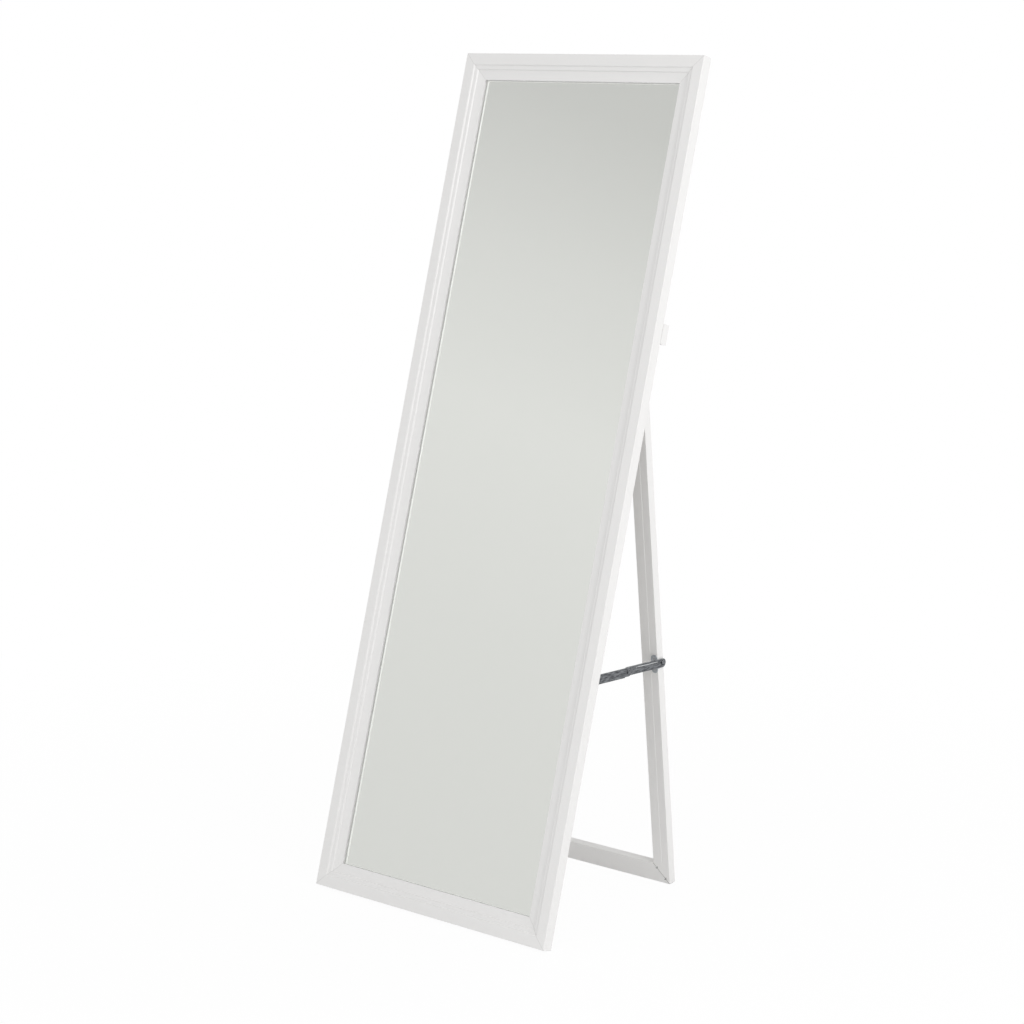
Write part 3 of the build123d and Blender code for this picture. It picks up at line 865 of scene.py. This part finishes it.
def screwTree():
    # A countersunk screw at each starting point, aimed by the point's own direction and head size,
    # with its cross recess turned at random
    s = screwSettings
    tree, given = newShapeTree("crossScrews", {"Seed": "Int"})
    start = given["Geometry"]
    shank = s["shank"]
    head = start.node(
        "GeometryNodeMeshCone", {},
        {"Vertices": s["headSides"], "Radius Top": 1.0, "Radius Bottom": shank, "Depth": 1.0 - shank},
    )
    sunk = start.node(
        "GeometryNodeTransform", {}, {"Geometry": head, "Translation": (0, 0, shank - 1.0)}
    )
    cutters = [
        start.node("GeometryNodeMeshCube", {}, {"Size": size})
        for size in (
            (s["recessLength"], s["recessWidth"], 2 * s["recessDepth"]),
            (s["recessWidth"], s["recessLength"], 2 * s["recessDepth"]),
        )
    ]
    crossed = start.node(
        "GeometryNodeMeshBoolean", {"operation": "DIFFERENCE"},
        {"Mesh 1": sunk, "Mesh 2": cutters[0]},
    )
    tree.links.new(cutters[1].socket, crossed.socket.node.inputs["Mesh 2"])
    thread = start.node(
        "GeometryNodeMeshCone", {},
        {
            "Vertices": s["shankSides"], "Radius Top": shank, "Radius Bottom": s["tip"],
            "Depth": s["length"],
        },
    )
    below = start.node(
        "GeometryNodeTransform", {},
        {"Geometry": thread, "Translation": (0, 0, shank - 1.0 - s["length"])},
    )
    whole = start.node("GeometryNodeJoinGeometry", {}, {"Geometry": crossed})
    tree.links.new(below.socket, whole.socket.node.inputs["Geometry"])
    aim = start.node("GeometryNodeInputNamedAttribute", {"data_type": "FLOAT_VECTOR"}, {"Name": "aim"})
    size = start.node("GeometryNodeInputNamedAttribute", {"data_type": "FLOAT"}, {"Name": "size"})
    facing = start.node("FunctionNodeAlignRotationToVector", {"axis": "Z"}, {"Vector": aim})
    instances = start.node(
        "GeometryNodeInstanceOnPoints", {},
        {"Points": start, "Instance": whole, "Rotation": facing, "Scale": size},
    )
    turn = start.node(
        "FunctionNodeRandomValue", {"data_type": "FLOAT"},
        {2: 0.0, 3: pi, "Seed": given["Seed"]}, output=1,
    )
    spin = start.node("ShaderNodeCombineXYZ", {}, {2: turn})
    turned = start.node(
        "GeometryNodeRotateInstances", {},
        {"Instances": instances, "Rotation": spin, "Local Space": True},
    )
    return endShapeTree(tree, turned, given)


def screwHeads(node, outwards):
    # Middle and radius of every screw head in a node, each screw being one loose shape, sorted by
    # place so that every run gives each screw the same turn
    mesh, shape = mergedCopy(node)
    heads = []
    waiting = set(shape.verts)
    while waiting:
        group = set()
        edge = {waiting.pop()}
        while edge:
            group |= edge
            edge = {link.other_vert(vertex) for vertex in edge for link in vertex.link_edges} - group
        waiting -= group
        top = max(vertex.co.dot(outwards) for vertex in group)
        rim = [vertex.co for vertex in group if vertex.co.dot(outwards) > top - screwSettings["rimDepth"]]
        lows = Vector([min(place[side] for place in rim) for side in range(3)])
        highs = Vector([max(place[side] for place in rim) for side in range(3)])
        heads.append(((lows + highs) / 2, (highs.x - lows.x) / 2))
    shape.free()
    return sorted(heads, key=lambda head: tuple(head[0]))


def addScrews(name, body, aims):
    # One mesh for all the screws of a body, in place of its screw nodes
    points, directions, sizes = [], [], []
    for node, outwards in aims.items():
        for middle, radius in screwHeads(node, outwards):
            points.append(middle)
            directions.extend(outwards)
            sizes.append(radius)
    mesh = bpy.data.meshes.new(name)
    mesh.from_pydata(points, [], [])
    mesh.attributes.new("aim", "FLOAT_VECTOR", "POINT").data.foreach_set("vector", directions)
    mesh.attributes.new("size", "FLOAT", "POINT").data.foreach_set("value", sizes)
    screws = grow(screw, mesh, {"Seed": screwSettings["seed"], "Material": zincSteel})
    addPiece(name, screws, body, *aims)


screw = screwTree()
mirrorBack = -forwards(mirrorStance)
legFront = forwards(legStance)
addScrews("visual_mirror_screws", "mirror", {
    "batten_screws": mirrorBack,
    "hinge_fixed_screws": mirrorBack,
    "stay_frame_bracket_screws": mirrorBack,
})
addScrews("visual_leg_screws", "rear_leg", {
    "hinge_moving_screws": -legFront,
    "stay_leg_bracket_screws": legFront,
})
print("screws set")
refine("panel_points", nailSteel, edgeWidth=0)


# Glass, silvering and what backs them

def setSheet(node, material):
    # A copy of a sheet, thinned by a hair so that no two faces lie in one plane
    mesh, shape = mergedCopy(node)
    middle = sum((vertex.co for vertex in shape.verts), Vector()) / len(shape.verts)
    front = forwards(mirrorStance)
    for vertex in shape.verts:
        side = 1 if (vertex.co - middle).dot(front) > 0 else -1
        vertex.co -= front * side * sheetSettings["skin"]
    shape.to_mesh(mesh)
    shape.free()
    mesh.materials.clear()
    mesh.materials.append(material)
    addPiece("visual_" + node, mesh, "mirror", node)


setSheet("mirror_glass", clearGlass)
setSheet("mirror_silvering", silver)
setSheet("safety_film", film)
refine("back_panel", board)
print("glass and back set")


# Studio: a pale floor, soft lamps, and a world that shows white and reflects a soft gradient

lampSettings = {
    "keyLamp": {"power": 50.0, "place": (3.6, -0.9, 2.7), "size": 1.8},
    "fillLamp": {"power": 10.0, "place": (1.2, -3.4, 2.6), "size": 2.5},
}
lampAim = (0, 0, 0.8)  # half way up the mirror


def softLamp(name, power, place, size):
    # A square lamp aimed at the object, and left out of what the mirror shows
    lamp = bpy.data.lights.new(name, "AREA")
    lamp.energy = power
    lamp.size = size
    holder = bpy.data.objects.new(name, lamp)
    holder.location = place
    holder.rotation_euler = (Vector(lampAim) - Vector(place)).to_track_quat("-Z", "Y").to_euler()
    holder.visible_transmission = False
    bpy.context.scene.collection.objects.link(holder)


floorSettings = {
    "reach": 30.0,
    "low": (0.92, 0.92, 0.92, 1),
    "high": (0.94, 0.94, 0.94, 1),
    "clouds": 1.5,
    "shadowNear": 0.5,
    "shadowFar": 2.2,
    "glow": 0.96,
}


def layFloor():
    # A pale floor that keeps a faint shadow near the object and fades to plain white around it
    s = floorSettings
    reach = s["reach"]
    mesh = bpy.data.meshes.new("floor")
    corners = [(-reach, -reach, 0), (reach, -reach, 0), (reach, reach, 0), (-reach, reach, 0)]
    mesh.from_pydata(corners, [], [(0, 1, 2, 3)])
    floor = bpy.data.objects.new("floor", mesh)
    bpy.context.scene.collection.objects.link(floor)
    material, place = newMaterial("paleFloor")
    tone = blendColour(place, noise(place, s["clouds"]), s["low"], s["high"])
    matt = place.node("ShaderNodeBsdfDiffuse", {}, {"Color": tone})
    glow = place.node("ShaderNodeEmission", {}, {"Color": (1, 1, 1, 1), "Strength": 1.0})
    distance = place.node(
        "ShaderNodeVectorMath", {"operation": "LENGTH"}, {0: place}, output="Value"
    )
    plain = fade(place, distance, s["shadowNear"], s["shadowFar"], s["glow"], 1.0)
    seen = rayKind(place, "Camera", "Glossy", "Transmission")
    mesh.materials.append(material)
    finishMaterial(material, place.node("ShaderNodeMixShader", {}, {0: seen * plain, 1: matt, 2: glow}))


skySettings = {
    "plainLight": 0.752,
    # Height of the direction, from straight down to straight up, against brightness
    "stops": [
        (0.00, 0.90),
        (0.50, 0.66),
        (0.55, 0.715),
        (0.60, 0.745),
        (0.64, 0.78),
        (0.67, 0.72),
        (0.70, 0.61),
        (0.78, 0.56),
        (1.00, 0.52),
    ],
    "tint": (1.0, 1.0, 0.975),
    # A bright panel behind and to the right, which only shiny surfaces see
    "panelAt": (0.44, 0.75, 0.48),
    "panelCore": 0.965,
    "panelRim": 0.90,
    "panelGain": 3.5,
}


def makeWorld():
    # White where the camera sees it, plain light on what is matt, a soft gradient in what shines
    s = skySettings
    world = bpy.data.worlds.new("studio")
    bpy.context.scene.world = world
    world.use_nodes = True
    tree = world.node_tree
    tree.nodes.clear()
    coordinates = tree.nodes.new("ShaderNodeTexCoord")
    place = Wire(tree, coordinates.outputs["Generated"])
    rise = place.node("ShaderNodeSeparateXYZ", {}, {0: place}, output="Z")
    stops = [(at, tuple(level * part for part in s["tint"]) + (1,)) for at, level in s["stops"]]
    height = rise * 0.5 + 0.5  # from nought straight down to one straight up
    gradient = place.node("ShaderNodeValToRGB", {"stops": stops}, {"Fac": height})
    plain = place.node("ShaderNodeBackground", {}, {"Color": (1, 1, 1, 1), "Strength": s["plainLight"]})
    toPanel = place.node(
        "ShaderNodeVectorMath", {"operation": "DOT_PRODUCT"},
        {0: place, 1: s["panelAt"]}, output="Value",
    )
    panel = fade(place, toPanel, s["panelRim"], s["panelCore"], 1.0, s["panelGain"])
    sky = place.node("ShaderNodeBackground", {}, {"Color": gradient, "Strength": panel})
    white = place.node("ShaderNodeBackground", {}, {"Color": (1, 1, 1, 1), "Strength": 1.0})
    shining = rayKind(place, "Glossy", "Transmission")
    lit = place.node("ShaderNodeMixShader", {}, {0: shining, 1: plain, 2: sky})
    shown = place.node("ShaderNodeMixShader", {}, {0: rayKind(place, "Camera"), 1: lit, 2: white})
    output = tree.nodes.new("ShaderNodeOutputWorld")
    tree.links.new(shown.socket, output.inputs["Surface"])


layFloor()
makeWorld()
for name, lamp in lampSettings.items():
    softLamp(name, **lamp)
print("studio lit")


# Camera, fitted to the straight edges of the object as photographed

cameraSettings = {
    "place": (2.863, -3.457, 1.5895),
    "turn": radians(39.53),
    "tilt": radians(-10.986),
    "focalPixels": 2495,
    "imagePixels": 1024,
    "sensorWidth": 36.0,
}
lens = bpy.data.cameras.new("camera")
lens.sensor_width = cameraSettings["sensorWidth"]
lens.lens = cameraSettings["focalPixels"] / cameraSettings["imagePixels"] * cameraSettings["sensorWidth"]
camera = bpy.data.objects.new("camera", lens)
camera.location = cameraSettings["place"]
camera.rotation_euler = (radians(90) + cameraSettings["tilt"], 0, cameraSettings["turn"])
bpy.context.scene.collection.objects.link(camera)
bpy.context.scene.camera = camera
bpy.context.scene.view_settings.view_transform = "Standard"

print("scene ready")
